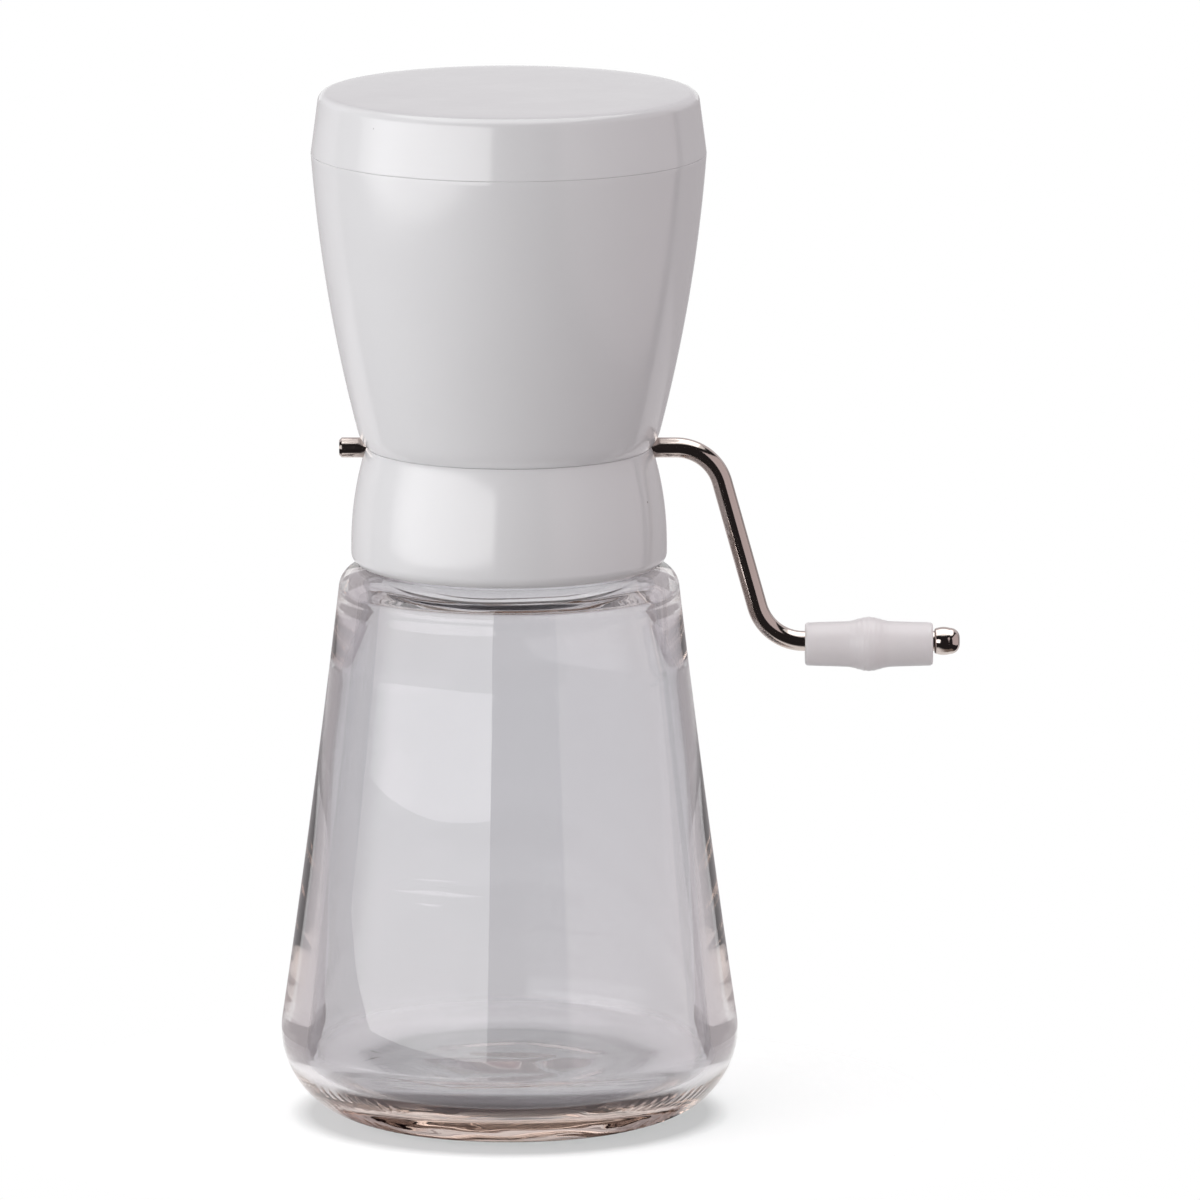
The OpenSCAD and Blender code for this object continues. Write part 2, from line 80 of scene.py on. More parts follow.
# clear soda-lime glass, pressed and fire polished: clean gloss, slow waves from the mould, a faint grey cast
def pressedFlintGlass():
    look = dict(tint="E2E2E5", ior=1.49, roughness=0.0, waveMm=16, wave=0.02, thickTint="F2C090", thick=5.6)
    material, tree = startMaterial("pressed_flint_glass")
    place = addNode(tree, "TexCoord")
    slow = addNode(tree, "TexNoise", {
        "Vector": (place, "Object"), "Scale": perMetre(look["waveMm"]), "Detail": 1.0})
    waves = addNode(tree, "Bump", {"Height": (slow, 0), "Strength": look["wave"], "Distance": 1 * mm})
    glass = addNode(tree, "BsdfPrincipled", {
        "Base Color": linearColour(look["tint"]), "IOR": look["ior"], "Roughness": look["roughness"],
        "Transmission Weight": 1.0, "Normal": (waves, 0)})
    thick = addNode(tree, "VolumeAbsorption", {
        "Color": linearColour(look["thickTint"]), "Density": look["thick"]})
    addNode(tree, "OutputMaterial", {"Surface": (glass, 0), "Volume": (thick, 0)})
    return material


# white ABS, injection moulded in a polished tool: even gloss, faint flow marks, a few dark specks
def mouldedWhitePlastic():
    look = dict(pale="DEDDDF", dull="D9D8DA", flowMm=30, ior=1.56,
                speck="8C8886", speckMm=9, speckCore=0.018, speckEdge=0.03, speckShare=0.12,
                smudgeMm=12, smudgeLow=0.3, smudgeHigh=0.7, glossLow=0.10, glossHigh=0.17,
                peelMm=3.5, peel=0.012)
    material, tree = startMaterial("moulded_white_abs")
    place = addNode(tree, "TexCoord")
    flow = addNode(tree, "TexNoise", {
        "Vector": (place, "Object"), "Scale": perMetre(look["flowMm"]), "Detail": 3.0})
    body = addNode(tree, "Mix", {
        0: (flow, 0), 6: linearColour(look["dull"]), 7: linearColour(look["pale"])}, data_type="RGBA")
    cells = addNode(tree, "TexVoronoi", {"Vector": (place, "Object"), "Scale": perMetre(look["speckMm"])})
    spot = addNode(tree, "MapRange", {
        "Value": (cells, "Distance"), "From Min": look["speckCore"], "From Max": look["speckEdge"],
        "To Min": 1.0, "To Max": 0.0})
    pick = addNode(tree, "SeparateColor", {"Color": (cells, "Color")})
    rare = addNode(tree, "Math", {0: (pick, 0), 1: look["speckShare"]}, operation="LESS_THAN")  # a few cells
    specks = addNode(tree, "Math", {0: (spot, 0), 1: (rare, 0)}, operation="MULTIPLY")
    colour = addNode(tree, "Mix", {
        0: (specks, 0), 6: (body, 2), 7: linearColour(look["speck"])}, data_type="RGBA")
    smudge = addNode(tree, "TexNoise", {
        "Vector": (place, "Object"), "Scale": perMetre(look["smudgeMm"]), "Detail": 4.0})
    gloss = addNode(tree, "MapRange", {
        "Value": (smudge, 0), "From Min": look["smudgeLow"], "From Max": look["smudgeHigh"],
        "To Min": look["glossLow"], "To Max": look["glossHigh"]})
    peel = addNode(tree, "TexNoise", {
        "Vector": (place, "Object"), "Scale": perMetre(look["peelMm"]), "Detail": 1.0})
    bump = addNode(tree, "Bump", {"Height": (peel, 0), "Strength": look["peel"], "Distance": 1 * mm})
    plastic = addNode(tree, "BsdfPrincipled", {
        "Base Color": (colour, 2), "Roughness": (gloss, 0), "IOR": look["ior"], "Normal": (bump, 0)})
    endMaterial(tree, plastic)
    return material


# milky polyethylene, moulded: light soaks in and softens the shading, with a satin skin
def mouldedMilkyPlastic():
    look = dict(pale="EFEBEC", dull="E6E0E2", cloudMm=6, ior=1.5, soak=0.55, soakMm=2.0,
                skinMm=1.6, skin=0.03, glossLow=0.28, glossHigh=0.4)
    material, tree = startMaterial("moulded_milky_polyethylene")
    place = addNode(tree, "TexCoord")
    cloud = addNode(tree, "TexNoise", {
        "Vector": (place, "Object"), "Scale": perMetre(look["cloudMm"]), "Detail": 3.0})
    colour = addNode(tree, "Mix", {
        0: (cloud, 0), 6: linearColour(look["dull"]), 7: linearColour(look["pale"])}, data_type="RGBA")
    skin = addNode(tree, "TexNoise", {
        "Vector": (place, "Object"), "Scale": perMetre(look["skinMm"]), "Detail": 2.0})
    gloss = addNode(tree, "MapRange", {
        "Value": (skin, 0), "To Min": look["glossLow"], "To Max": look["glossHigh"]})
    bump = addNode(tree, "Bump", {"Height": (skin, 0), "Strength": look["skin"], "Distance": 1 * mm})
    milky = addNode(tree, "BsdfPrincipled", {
        "Base Color": (colour, 2), "Roughness": (gloss, 0), "IOR": look["ior"], "Normal": (bump, 0),
        "Subsurface Weight": look["soak"], "Subsurface Scale": look["soakMm"] * mm,
        "Subsurface Radius": (1, 1, 1)})
    endMaterial(tree, milky)
    return material


# steel wire, drawn and bright nickel plated: a warm mirror with faint lines along the wire
def nickelPlatedWire():
    look = dict(warm="D0C5BF", deep="C4B8B1", lineMm=0.35, alongMm=14, line=0.02, lineDepthMm=0.1,
                glossLow=0.06, glossHigh=0.13)
    material, tree = startMaterial("nickel_plated_wire")
    place = addNode(tree, "UVMap")  # u runs along the wire and v round it, both in metres
    stretch = addNode(tree, "Mapping", {
        "Vector": (place, 0), "Scale": (perMetre(look["alongMm"]), perMetre(look["lineMm"]), 1)})
    lines = addNode(tree, "TexNoise", {"Vector": (stretch, 0), "Scale": 1.0, "Detail": 2.0})
    colour = addNode(tree, "Mix", {
        0: (lines, 0), 6: linearColour(look["deep"]), 7: linearColour(look["warm"])}, data_type="RGBA")
    gloss = addNode(tree, "MapRange", {
        "Value": (lines, 0), "To Min": look["glossLow"], "To Max": look["glossHigh"]})
    bump = addNode(tree, "Bump", {
        "Height": (lines, 0), "Strength": look["line"], "Distance": look["lineDepthMm"] * mm})
    nickel = addNode(tree, "BsdfPrincipled", {
        "Base Color": (colour, 2), "Metallic": 1.0, "Roughness": (gloss, 0), "Normal": (bump, 0)})
    endMaterial(tree, nickel)
    return material


# stainless sheet, rolled and stamped: grey satin with a grain one way
def stampedStainlessSheet():
    look = dict(pale="C9CACC", deep="B4B5B8", grainMm=0.3, alongMm=12, grain=0.05, grainDepthMm=0.1,
                glossLow=0.24, glossHigh=0.38)
    material, tree = startMaterial("stamped_stainless_sheet")
    place = addNode(tree, "TexCoord")
    stretch = addNode(tree, "Mapping", {"Vector": (place, "Object"), "Scale": (
        perMetre(look["alongMm"]), perMetre(look["grainMm"]), perMetre(look["grainMm"]))})
    grain = addNode(tree, "TexNoise", {"Vector": (stretch, 0), "Scale": 1.0, "Detail": 2.0})
    colour = addNode(tree, "Mix", {
        0: (grain, 0), 6: linearColour(look["deep"]), 7: linearColour(look["pale"])}, data_type="RGBA")
    gloss = addNode(tree, "MapRange", {
        "Value": (grain, 0), "To Min": look["glossLow"], "To Max": look["glossHigh"]})
    bump = addNode(tree, "Bump", {
        "Height": (grain, 0), "Strength": look["grain"], "Distance": look["grainDepthMm"] * mm})
    steel = addNode(tree, "BsdfPrincipled", {
        "Base Color": (colour, 2), "Metallic": 1.0, "Roughness": (gloss, 0), "Normal": (bump, 0)})
    endMaterial(tree, steel)
    return material


# zinc plated screws and rivets: a bluish, slightly cloudy bright metal
def zincPlatedSteel():
    look = dict(pale="D2D5D8", deep="BFC3C8", cloudMm=1.2, glossLow=0.2, glossHigh=0.36)
    material, tree = startMaterial("zinc_plated_steel")
    place = addNode(tree, "TexCoord")
    cloud = addNode(tree, "TexNoise", {
        "Vector": (place, "Object"), "Scale": perMetre(look["cloudMm"]), "Detail": 3.0})
    colour = addNode(tree, "Mix", {
        0: (cloud, 0), 6: linearColour(look["deep"]), 7: linearColour(look["pale"])}, data_type="RGBA")
    gloss = addNode(tree, "MapRange", {
        "Value": (cloud, 0), "To Min": look["glossLow"], "To Max": look["glossHigh"]})
    zinc = addNode(tree, "BsdfPrincipled", {
        "Base Color": (colour, 2), "Metallic": 1.0, "Roughness": (gloss, 0)})
    endMaterial(tree, zinc)
    return material


# silicone ring, moulded matt: pale grey with a dusty skin
def mouldedSilicone():
    look = dict(pale="DCDCD9", dull="CFCFCC", dustMm=0.8, dust=0.08, dustDepthMm=0.2,
                ior=1.41, roughness=0.62)
    material, tree = startMaterial("moulded_silicone")
    place = addNode(tree, "TexCoord")
    dust = addNode(tree, "TexNoise", {
        "Vector": (place, "Object"), "Scale": perMetre(look["dustMm"]), "Detail": 3.0})
    colour = addNode(tree, "Mix", {
        0: (dust, 0), 6: linearColour(look["dull"]), 7: linearColour(look["pale"])}, data_type="RGBA")
    bump = addNode(tree, "Bump", {
        "Height": (dust, 0), "Strength": look["dust"], "Distance": look["dustDepthMm"] * mm})
    rubber = addNode(tree, "BsdfPrincipled", {
        "Base Color": (colour, 2), "Roughness": look["roughness"], "IOR": look["ior"], "Normal": (bump, 0)})
    endMaterial(tree, rubber)
    return material


glass = pressedFlintGlass()
whitePlastic = mouldedWhitePlastic()
milkyPlastic = mouldedMilkyPlastic()
nickel = nickelPlatedWire()
stainless = stampedStainlessSheet()
zinc = zincPlatedSteel()
silicone = mouldedSilicone()
print("materials ready")


# outline helpers, all in mm as (radius, height); count is how many steps a stretch has
def arcPoints(centre, radius, fromDeg, toDeg, count):
    angles = [math.radians(fromDeg + (toDeg - fromDeg) * i / count) for i in range(count + 1)]
    return [(centre[0] + radius * math.cos(a), centre[1] + radius * math.sin(a)) for a in angles]


# points between p and q, bowed out to the right of the way from p to q
def bowPoints(p, q, rise, count):
    way = (q[0] - p[0], q[1] - p[1])
    length = math.hypot(*way)
    side = (way[1] / length, -way[0] / length)
    steps = [i / count for i in range(1, count)]
    return [(p[0] + way[0] * t + side[0] * 4 * rise * t * (1 - t),
             p[1] + way[1] * t + side[1] * 4 * rise * t * (1 - t)) for t in steps]


def linePoints(p, q, count):
    return bowPoints(p, q, 0, count)


# rise of a bow whose end leans off its span by this angle
def bowRise(p, q, degrees):
    return math.hypot(q[0] - p[0], q[1] - p[1]) * math.tan(math.radians(degrees)) / 4


# lean of the way from p up to q, off upright
def leanOf(p, q):
    return math.degrees(math.atan2(q[0] - p[0], q[1] - p[1]))


# rounds the corners of a closed outline: each corner is (radius, height, rounding)
def softCorners(corners, count=5):
    points = []
    for i, (r, z, rounding) in enumerate(corners):
        here = Vector((r, z))
        if rounding == 0:
            points.append((r, z))
            continue
        back = (Vector(corners[i - 1][:2]) - here).normalized()
        on = (Vector(corners[(i + 1) % len(corners)][:2]) - here).normalized()
        half = back.angle(on) / 2
        reach = rounding / math.tan(half)
        centre = here + (back + on).normalized() * rounding / math.sin(half)
        start, end = here + back * reach - centre, here + on * reach - centre
        turn = start.angle_signed(end)
        for k in range(count + 1):
            a = -turn * k / count
            c, s = math.cos(a), math.sin(a)
            points.append(tuple(centre + Vector((start.x * c - start.y * s, start.x * s + start.y * c))))
    return points


# turns a closed outline round Z; shift(r, z, angle) gives the point's own radius and height
def lathe(name, outline, segments, material, shift=None):
    mesh = bpy.data.meshes.new(name)
    bm = bmesh.new()
    rings = []
    for r, z in outline:
        if r < hair:
            rings.append([bm.verts.new((0, 0, z * mm))])
            continue
        ring = []
        for i in range(segments):
            a = 2 * math.pi * i / segments
            rr, zz = shift(r, z, a) if shift else (r, z)
            ring.append(bm.verts.new((rr * math.cos(a) * mm, rr * math.sin(a) * mm, zz * mm)))
        rings.append(ring)
    for low, high in zip(rings, rings[1:] + rings[:1]):
        for i in range(segments):
            k = (i + 1) % segments
            if len(low) > 1 and len(high) > 1:
                bm.faces.new((low[i], low[k], high[k], high[i]))
            elif len(low) > 1:
                bm.faces.new((low[i], low[k], high[0]))
            elif len(high) > 1:
                bm.faces.new((low[0], high[k], high[i]))
    bmesh.ops.recalc_face_normals(bm, faces=bm.faces)
    bm.to_mesh(mesh)
    bm.free()
    return placePiece(name, mesh, material)


def placePiece(name, mesh, material):
    piece = bpy.data.objects.new(name, mesh)
    bpy.context.scene.collection.objects.link(piece)
    mesh.materials.clear()
    mesh.materials.append(material)
    return piece


def smoothPiece(piece, sharpDeg=32):
    piece.data.shade_smooth()
    piece.data.set_sharp_from_angle(angle=math.radians(sharpDeg))
    return piece


# solids that cut or add, in mm
def blockTool(low, high):
    mesh = bpy.data.meshes.new("tool")
    bm = bmesh.new()
    bmesh.ops.create_cube(bm, size=1)
    size = [(b - a) * mm for a, b in zip(low, high)]
    middle = [(a + b) / 2 * mm for a, b in zip(low, high)]
    bmesh.ops.transform(bm, matrix=Matrix.Translation(middle) @ Matrix.Diagonal((*size, 1)), verts=bm.verts)
    bm.to_mesh(mesh)
    bm.free()
    return placePiece("tool", mesh, whitePlastic)


def barTool(start, end, radius, sides=64):
    mesh = bpy.data.meshes.new("tool")
    bm = bmesh.new()
    a, b = Vector(start) * mm, Vector(end) * mm
    bmesh.ops.create_cone(bm, cap_ends=True, segments=sides, radius1=radius * mm, radius2=radius * mm,
                          depth=(b - a).length)
    turn = (b - a).to_track_quat("Z", "Y").to_matrix().to_4x4()
    bmesh.ops.transform(bm, matrix=Matrix.Translation((a + b) / 2) @ turn, verts=bm.verts)
    bm.to_mesh(mesh)
    bm.free()
    return placePiece("tool", mesh, whitePlastic)


def carve(piece, tools, operation="DIFFERENCE"):
    for tool in tools:
        step = piece.modifiers.new("carve", "BOOLEAN")
        step.operation = operation
        step.solver = "EXACT"
        step.object = tool
    bpy.context.view_layer.update()
    made = bpy.data.meshes.new_from_object(piece.evaluated_get(bpy.context.evaluated_depsgraph_get()))
    piece.modifiers.clear()
    before, piece.data = piece.data, made
    bpy.data.meshes.remove(before)
    made.name = piece.name
    for tool in tools:
        bpy.data.meshes.remove(tool.data)  # takes the tool's object with it
    return piece


def standsFor(piece, node, body):
    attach(piece, body)
    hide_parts(node)


# heights and radii that the pieces share, in mm
stack = dict(shoulder=109.9, skirt=110.3, deck=129.7, seam=133.7, ledge=192.0, axle=133.3,
             neckR=26.4, boreR=28.2, waistR=28.1, rimR=38.85, tongueR=36.85, rodR=2.0, bearingR=2.06)
thread = dict(lead=5.0, turns=1.25, depth=1.4, rootW=1.74, crestW=1.0, runOut=0.08, lowZ=112.0, topZ=126.0,
              jarZ=118.65, collarZ=116.75)


# how far a right-hand thread stands out at this height and angle, from 0 to 1
def threadRise(z, angle, startZ):
    best = 0.0
    for turn in range(2):
        along = angle / (2 * math.pi) + turn
        if along > thread["turns"]:
            continue
        off = abs(z - startZ - along * thread["lead"])
        flank = (thread["rootW"] / 2 - off) / (thread["rootW"] - thread["crestW"]) * 2
        fade = min(1.0, along / thread["runOut"], (thread["turns"] - along) / thread["runOut"])
        best = max(best, min(1.0, max(0.0, flank)) * fade)
    return best * best * (3 - 2 * best)


# glass jar, in mm
jarSizes = dict(widest=45.18, heelR=17.0, shoulderR=4.6, shoulderW=7.2, hollow=0.35, punt=0.6, footW=4.0,
                neckWall=2.8, neckFillet=1.2, rimZ=128.8, rimRound=1.0, floor=7.4, innerHeelR=7.2,
                innerHeelFrom=3, roof=1.0, roofDrop=3.9, lipR=0.6, turnR=3.4, thin=2.4,
                thinTop=90.4, topGrow=0.22, topSoft=0.5, thinBase=68.0, baseGrow=0.062, baseSoft=4.0,
                closeUnder=4.0, segments=264, sharpDeg=40)
# marks left in the glass: stipples round the foot, waves under the shoulder, a wrinkled floor, chill ripples
stipples = dict(count=88, depth=0.3, ringR=36.0, width=5.0, heelR=28.0, heelSlope=0.6,
                wornFrom=0.6, wornOver=0.2)
roofWaves = dict(rise=0.018, pitch=0.45, lowZ=104.2, topZ=109.4, fromMouth=0.2, outR=29.0,
                 wander=2.5, wanderTurns=2, wanderSeed=1.7)
floorWrinkles = dict(slow=0.22, slowX=17.0, slowY=9.0, slowSeed=0.3,
                     fine=0.08, fineX=6.0, fineY=4.0, fineSeed=4.1, edgeR=32.0, edgeW=6.0)
chillRipples = dict(rise=0.06, pitch=2.6, lowZ=45.0, topZ=56.0, room=1.0, skin=5.0, side=0.4, spread=0.45,
                    wander=2, wanderTurns=3, wanderMm=9.0)


# ramp that starts softly at zero
def softRamp(x, softness):
    most = 60  # keeps exp in range
    return softness * math.log1p(math.exp(min(x / softness, most)))


def glassThickness(z):
    s = jarSizes
    return (s["thin"] + s["topGrow"] * softRamp(z - s["thinTop"], s["topSoft"])
            + s["baseGrow"] * softRamp(s["thinBase"] - z, s["baseSoft"]))


# the ripples and the glass under the shoulder need close rows
def closeRows(z):
    c = chillRipples
    rippled = c["lowZ"] - c["room"] < z < c["topZ"] + c["room"]
    return rippled or z > jarSizes["thinTop"] - jarSizes["closeUnder"]


def jarOutline():
    s = jarSizes
    heel = (s["widest"] - s["heelR"], s["heelR"])
    shoulder = (stack["neckR"] + s["shoulderW"] - s["shoulderR"], stack["shoulder"] - s["shoulderR"])
    span = (shoulder[0] - heel[0], shoulder[1] - heel[1])
    tilt = math.atan2(span[1], span[0]) - math.acos((s["heelR"] - s["shoulderR"]) / math.hypot(*span))
    tiltDeg = math.degrees(tilt)
    out = (math.cos(tilt), math.sin(tilt))  # square to the side wall
    wallTop = (shoulder[0] + s["shoulderR"] * out[0], shoulder[1] + s["shoulderR"] * out[1])
    footIn = heel[0] - s["footW"]
    steps = 12
    dome = [i / steps for i in range(steps + 1)]
    under = [(footIn * t, s["punt"] * (1 + math.cos(math.pi * t)) / 2) for t in dome]
    under += linePoints((footIn, 0), (heel[0], 0), 6)
    outside = arcPoints(heel, s["heelR"], -90, tiltDeg, 26)
    wallFoot = outside[-1]
    outside += bowPoints(wallFoot, wallTop, -s["hollow"], 20)
    outside += arcPoints(shoulder, s["shoulderR"], tiltDeg, 90, 16)
    fillet = (stack["neckR"] + s["neckFillet"], stack["shoulder"] + s["neckFillet"])
    outside += arcPoints(fillet, s["neckFillet"], 270, 180, 8)
    rim = (stack["neckR"] - s["rimRound"], s["rimZ"] - s["rimRound"])
    outside += linePoints(outside[-1], (stack["neckR"], rim[1]), 44)  # close rows, for the thread
    outside += arcPoints(rim, s["rimRound"], 0, 90, 8)
    return under + outside + jarInside(wallFoot, wallTop, out)


# from the rim down inside to the middle of the floor
def jarInside(wallFoot, wallTop, out):
    s = jarSizes
    mouthR = stack["neckR"] - s["neckWall"]
    roofZ = stack["shoulder"] - s["roof"]
    inside = arcPoints((mouthR + s["rimRound"], s["rimZ"] - s["rimRound"]), s["rimRound"], 90, 180, 8)
    fine = bowPoints(wallFoot, wallTop, -s["hollow"], 128)
    needed = [p for i, p in enumerate(fine) if i % 2 == 0 or closeRows(p[1])]
    wall = [(r - out[0] * glassThickness(z), z - out[1] * glassThickness(z)) for r, z in needed]
    topIn = max(i for i, (r, z) in enumerate(wall) if z < roofZ - s["roofDrop"] - s["turnR"])
    lowIn = min(i for i, (r, z) in enumerate(wall) if z > s["floor"] + s["innerHeelR"])
    bend = (wall[topIn][0], roofZ - s["roofDrop"])
    steps = 8
    corners = softCorners([(*inside[-1], 0), (mouthR, roofZ, s["lipR"]), (*bend, s["turnR"]),
                           (*wall[topIn], 0)], steps)
    lip, turn = corners[1:steps + 2], corners[steps + 2:-1]
    inside += linePoints(inside[-1], lip[0], 4) + lip
    inside += linePoints(lip[-1], turn[0], 56) + turn  # close rows, for the roof's waves
    inside += wall[lowIn:topIn + 1][::-1]
    low, above = wall[lowIn], wall[lowIn + 1]
    drop = low[1] - s["floor"] - s["innerHeelR"]
    footR = low[0] + drop * (low[0] - above[0]) / (above[1] - low[1])  # the wall carried on down to the heel
    heel = (footR - s["innerHeelR"], s["floor"] + s["innerHeelR"])
    inside += arcPoints(heel, s["innerHeelR"], s["innerHeelFrom"], -90, 24)
    return inside + linePoints(inside[-1], (0.0, s["floor"]), 38) + [(0.0, s["floor"])]


# creases that the glass froze with, on the inside floor: (x, y) along each one
floorCreases = [
    dict(tall=0.28, wide=0.9, line=[(-27, 14), (-20, 5), (-11, -7), (-4, -5), (4, -2), (11, 3), (17, 6)]),
    dict(tall=-0.2, wide=1.2, line=[(-7, 13), (8, 11), (1, 4)]),
    dict(tall=0.15, wide=1.0, line=[(-14, 20), (3, 23), (18, 17)])]


def creaseRise(x, y):
    rise = 0.0
    for crease in floorCreases:
        away = math.inf
        for a, b in zip(crease["line"], crease["line"][1:]):
            along = Vector(b) - Vector(a)
            off = Vector((x, y)) - Vector(a)
            t = min(1.0, max(0.0, off.dot(along) / along.length_squared))
            away = min(away, (off - along * t).length)
        rise += crease["tall"] * math.exp(-(away / crease["wide"]) ** 2)
    return rise


# slow noise that meets itself after a turn round the jar
def roundWander(angle, turns, level):
    return noise.noise(Vector((turns * math.cos(angle), turns * math.sin(angle), level)))


def stippleRise(r, angle):
    s = stipples
    fade = 1 - abs(r - s["ringR"]) / s["width"]
    worn = (abs(math.cos(angle)) - s["wornFrom"]) / s["wornOver"]  # gone at the front and the back
    fade *= min(1.0, max(0.0, worn))
    return s["depth"] * fade * (1 + math.sin(s["count"] * angle))


def roofRise(r, angle):
    s = roofWaves
    wander = s["wander"] * roundWander(angle, s["wanderTurns"], s["wanderSeed"])
    return s["rise"] * math.sin(2 * math.pi * r / s["pitch"] + wander)


def floorRise(r, angle):
    s = floorWrinkles
    x, y = r * math.cos(angle), r * math.sin(angle)
    slow = s["slow"] * noise.noise(Vector((x / s["slowX"], y / s["slowY"], s["slowSeed"])))
    fine = s["fine"] * noise.noise(Vector((x / s["fineX"], y / s["fineY"], s["fineSeed"])))
    edge = min(1.0, max(0.0, (s["edgeR"] - r) / s["edgeW"]))
    return edge * (slow + fine + creaseRise(x, y))


def rippleShift(z, angle):
    s = chillRipples
    middle = (s["lowZ"] + s["topZ"]) / 2
    fade = 1 - abs(z - middle) / (s["topZ"] - middle)
    fade *= max(0.0, 1 - abs(math.cos(angle) + s["side"]) / s["spread"])  # strongest left of the middle
    wander = s["wander"] * roundWander(angle, s["wanderTurns"], z / s["wanderMm"])
    return s["rise"] * fade * math.sin(2 * math.pi * z / s["pitch"] + wander)


def jarShift(r, z, angle):
    t, roof, chill = stipples, roofWaves, chillRipples
    roofIn = stack["neckR"] - jarSizes["neckWall"] + roof["fromMouth"]
    if z > thread["lowZ"] and r > stack["neckR"] - hair:
        return r + thread["depth"] * threadRise(z, angle, thread["jarZ"]), z
    if z < t["heelSlope"] * (r - t["heelR"]) and abs(r - t["ringR"]) < t["width"]:
        return r, z + stippleRise(r, angle)
    if roof["lowZ"] < z < roof["topZ"] and roofIn < r < roof["outR"]:
        return r, z + roofRise(r, angle)
    if abs(z - jarSizes["floor"]) < hair:
        return r, z + floorRise(r, angle)
    if chill["lowZ"] < z < chill["topZ"] and r < jarSizes["widest"] - chill["skin"] and math.sin(angle) < 0:
        return r + rippleShift(z, angle), z
    return r, z


jarPiece = lathe("jar_glass", jarOutline(), jarSizes["segments"], glass, jarShift)
smoothPiece(jarPiece, jarSizes["sharpDeg"])
standsFor(jarPiece, "jar", "jar")
print("jar made:", len(jarPiece.data.vertices), "points")

# chopping throat and what is let into the deck, in mm; past is how far a cutter runs beyond a face
chopper = dict(throatX=18.42, throatY=12.0, throatH=4.0, combW=6.4, combX=14.77, combT=1.2, combGap=0.05,
               screwX=8.0, screwY=15.2, screwR=1.3, screwTight=0.03, fit=0.2, boreSides=32,
               bossR=2.8, bossH=6.4, humpR=3.66, humpEnd=26.5, humpCut=8.0, humpSides=48, seamSkin=0.0001,
               reach=40.0, past=1.0)


def screwPlaces():
    x, y = chopper["screwX"], chopper["screwY"]
    return [(-x, -y), (-x, y), (x, -y), (x, y)]


# bar along the crank's axle, right through the waist
def axleTool():
    reach, axle = chopper["reach"], stack["axle"]
    return barTool((-reach, 0, axle), (reach, 0, axle), stack["bearingR"])


# collar, the screw cap under the hopper
collarSizes = dict(wall=2.9, edge=2.4, straight=1.5, topEdge=0.12, topFrom=50, seatGap=0.4, seatH=1.0,
                   corner=3.5, leadH=0.6, leadW=0.45, segments=256)


def collarOutline():
    s = collarSizes
    bore, outR, skirt = stack["boreR"], stack["boreR"] + s["wall"], stack["skirt"]
    seam, deck, seatR = stack["seam"], stack["deck"], stack["neckR"] + s["seatGap"]
    low = (outR, skirt + s["edge"] + s["straight"])
    high = (stack["waistR"], seam)
    outline = arcPoints((outR - s["edge"], skirt + s["edge"]), s["edge"], -90, 0, 14)
    outline += [low] + bowPoints(low, high, bowRise(low, high, -leanOf(low, high)), 40)
    outline += arcPoints((high[0] - s["topEdge"], seam - s["topEdge"]), s["topEdge"], s["topFrom"], 90, 4)
    outline += [(0.0, seam), (0.0, deck), (seatR, deck), (seatR, deck - s["seatH"])]
    boreTop, boreFoot = (bore, deck - s["corner"]), (bore, skirt + s["leadH"])
    outline += [boreTop] + linePoints(boreTop, boreFoot, 56) + [boreFoot]  # close rows, for the thread
    return outline + [(bore + s["leadW"], skirt)]


def collarShift(r, z, angle):
    if abs(r - stack["boreR"]) < hair and thread["lowZ"] < z < thread["topZ"]:
        return r - thread["depth"] * threadRise(z, angle, thread["collarZ"]), z
    return r, z


def deckCuts():
    c, past = chopper, chopper["past"]
    seam, deck, bearing = stack["seam"], stack["deck"], stack["bearingR"]
    yield blockTool((-c["throatX"], -c["throatY"], deck - past), (c["throatX"], c["throatY"], seam + past))
    yield axleTool()
    yield blockTool((-c["reach"], -bearing, stack["axle"]), (c["reach"], bearing, seam + 2 * past))
    for side in (-1, 1):
        near, far = side * (c["throatY"] - past), side * (c["throatY"] + c["combW"] + c["fit"])
        wide, bed = c["combX"] + c["fit"], seam - c["combT"] - c["combGap"]
        yield blockTool((-wide, min(near, far), bed), (wide, max(near, far), seam + past))
    for x, y in screwPlaces():
        yield barTool((x, y, deck - past), (x, y, seam + past), c["screwR"] + c["fit"], c["boreSides"])


collarPiece = lathe("collar_moulding", collarOutline(), collarSizes["segments"], whitePlastic, collarShift)
smoothPiece(carve(collarPiece, list(deckCuts())))
standsFor(collarPiece, "collar", "head")
print("collar made:", len(collarPiece.data.vertices), "points")

# hopper, the flared bowl
hopperSizes = dict(wall=2.2, floor=2.5, lean=14.5, footR=7.8, footLean=41.5, relief=0.08, reliefW=1.2,
                   tongueH=5.5, tongueWall=1.7, tongueEdge=0.5, tongueRoot=1.0, innerR=3.0, thickH=8.0,
                   rimEdge=0.1, segments=256)


